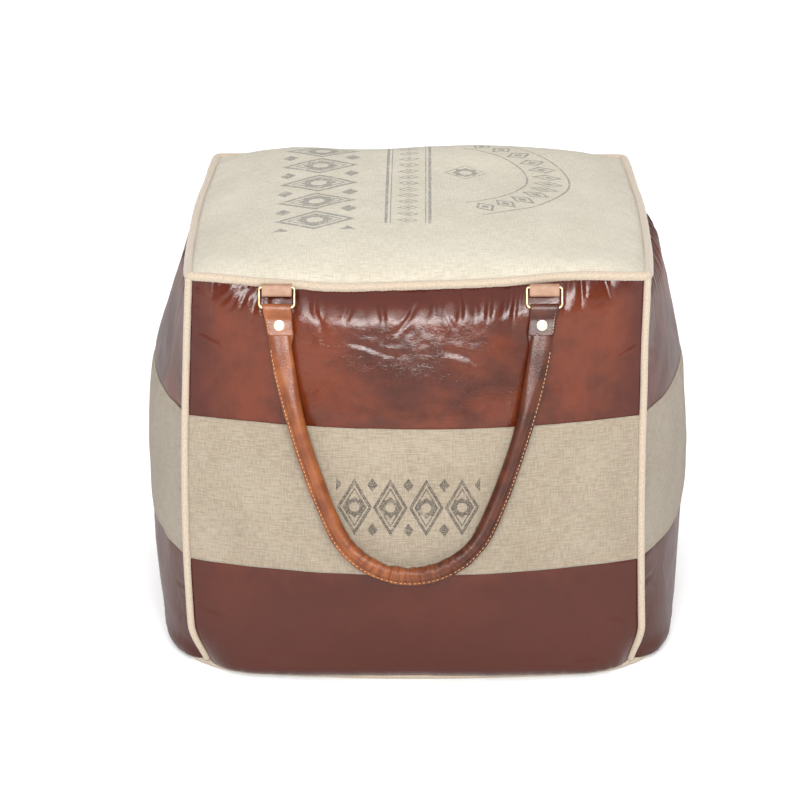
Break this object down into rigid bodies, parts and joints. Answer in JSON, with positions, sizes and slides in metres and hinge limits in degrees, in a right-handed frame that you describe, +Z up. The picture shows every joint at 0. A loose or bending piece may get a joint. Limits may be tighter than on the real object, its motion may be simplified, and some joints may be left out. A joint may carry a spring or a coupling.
{
  "type": "moroccan leather pouf",
  "caption": "Square stuffed pouf with bulging leather sides, a canvas band and canvas top, piped seams, a zipped bottom, and looped carrying handles hung from metal rings.",
  "frame": {"origin": "on the floor under the middle of the pouf", "axes": "+Z up, -Y is the front, which faces the viewer, and +X is the viewer's right"},
  "size_m": [0.514, 0.545, 0.4068],
  "materials": {
    "cover_leather": "satin",
    "handle_leather": "satin",
    "tab_leather": "matte",
    "canvas": "matte",
    "base_canvas": "matte",
    "piping_canvas": "matte",
    "liner_cloth": "matte",
    "filling": "matte",
    "cord": "matte",
    "brass": "satin",
    "zip_tape": "matte",
    "zip_coil": "satin",
    "zip_metal": "satin"
  },
  "bodies": {
    "cover": {"filling": "filling", "liner_bag": "liner_cloth", "liner_base": "liner_cloth", "top_panel": "canvas", "bottom_panel_front": "base_canvas", "bottom_panel_rear": "base_canvas", "front_upper_leather": "cover_leather", "right_upper_leather": "cover_leather", "rear_upper_leather": "cover_leather", "left_upper_leather": "cover_leather", "front_canvas_band": "canvas", "right_canvas_band": "canvas", "rear_canvas_band": "canvas", "left_canvas_band": "canvas", "front_lower_leather": "cover_leather", "right_lower_leather": "cover_leather", "rear_lower_leather": "cover_leather", "left_lower_leather": "cover_leather", "top_piping": "piping_canvas", "bottom_piping": "piping_canvas", "front_right_piping": "piping_canvas", "rear_right_piping": "piping_canvas", "rear_left_piping": "piping_canvas", "front_left_piping": "piping_canvas", "top_piping_cord": "cord", "bottom_piping_cord": "cord", "corner_piping_cords": "cord", "front_left_tab": "tab_leather", "front_right_tab": "tab_leather", "rear_left_tab": "tab_leather", "rear_right_tab": "tab_leather", "zip_tape_front": "zip_tape", "zip_tape_rear": "zip_tape", "zip_coil_front": "zip_coil", "zip_coil_rear": "zip_coil", "zip_stops": "zip_metal"},
    "front_ring_left": {"front_left_ring": "brass"},
    "front_ring_right": {"front_right_ring": "brass"},
    "front_handle": {"front_handle": "handle_leather", "front_handle_cord": "cord", "front_handle_rivets": "brass"},
    "rear_ring_left": {"rear_left_ring": "brass"},
    "rear_ring_right": {"rear_right_ring": "brass"},
    "rear_handle": {"rear_handle": "handle_leather", "rear_handle_cord": "cord", "rear_handle_rivets": "brass"},
    "zip_slider": {"zip_slider": "zip_metal"},
    "zip_pull": {"zip_pull": "zip_metal"}
  },
  "joints": [
    {"name": "front_ring_left_hinge", "type": "hinge", "parent": "cover", "child": "front_ring_left", "pos_m": [-0.1295, -0.2228, 0.3765], "axis": [-1, 0, 0], "range_deg": [0, 160]},
    {"name": "front_ring_right_hinge", "type": "hinge", "parent": "cover", "child": "front_ring_right", "pos_m": [0.1135, -0.2228, 0.3765], "axis": [-1, 0, 0], "range_deg": [-10, 175]},
    {"name": "front_handle_hinge", "type": "hinge", "parent": "front_ring_left", "child": "front_handle", "pos_m": [-0.1295, -0.23062, 0.35973], "axis": [-1, 0, 0], "range_deg": [0, 70]},
    {"name": "rear_ring_left_hinge", "type": "hinge", "parent": "cover", "child": "rear_ring_left", "pos_m": [-0.1135, 0.2228, 0.3765], "axis": [1, 0, 0], "range_deg": [0, 160]},
    {"name": "rear_ring_right_hinge", "type": "hinge", "parent": "cover", "child": "rear_ring_right", "pos_m": [0.1295, 0.2228, 0.3765], "axis": [1, 0, 0], "range_deg": [-10, 175]},
    {"name": "rear_handle_hinge", "type": "hinge", "parent": "rear_ring_left", "child": "rear_handle", "pos_m": [-0.1135, 0.23062, 0.35973], "axis": [1, 0, 0], "range_deg": [0, 70]},
    {"name": "zip_slide", "type": "slide", "parent": "cover", "child": "zip_slider", "axis": [-1, 0, 0], "range_m": [0, 0.27]},
    {"name": "zip_pull_hinge", "type": "hinge", "parent": "zip_slider", "child": "zip_pull", "pos_m": [0.136, 0, 0.0016], "axis": [0, 1, 0], "range_deg": [0, 180]}
  ],
  "couplings": [
    {"joint": "front_ring_right_hinge", "follows": "front_ring_left_hinge", "ratio": 1},
    {"joint": "rear_ring_right_hinge", "follows": "rear_ring_left_hinge", "ratio": 1}
  ]
}
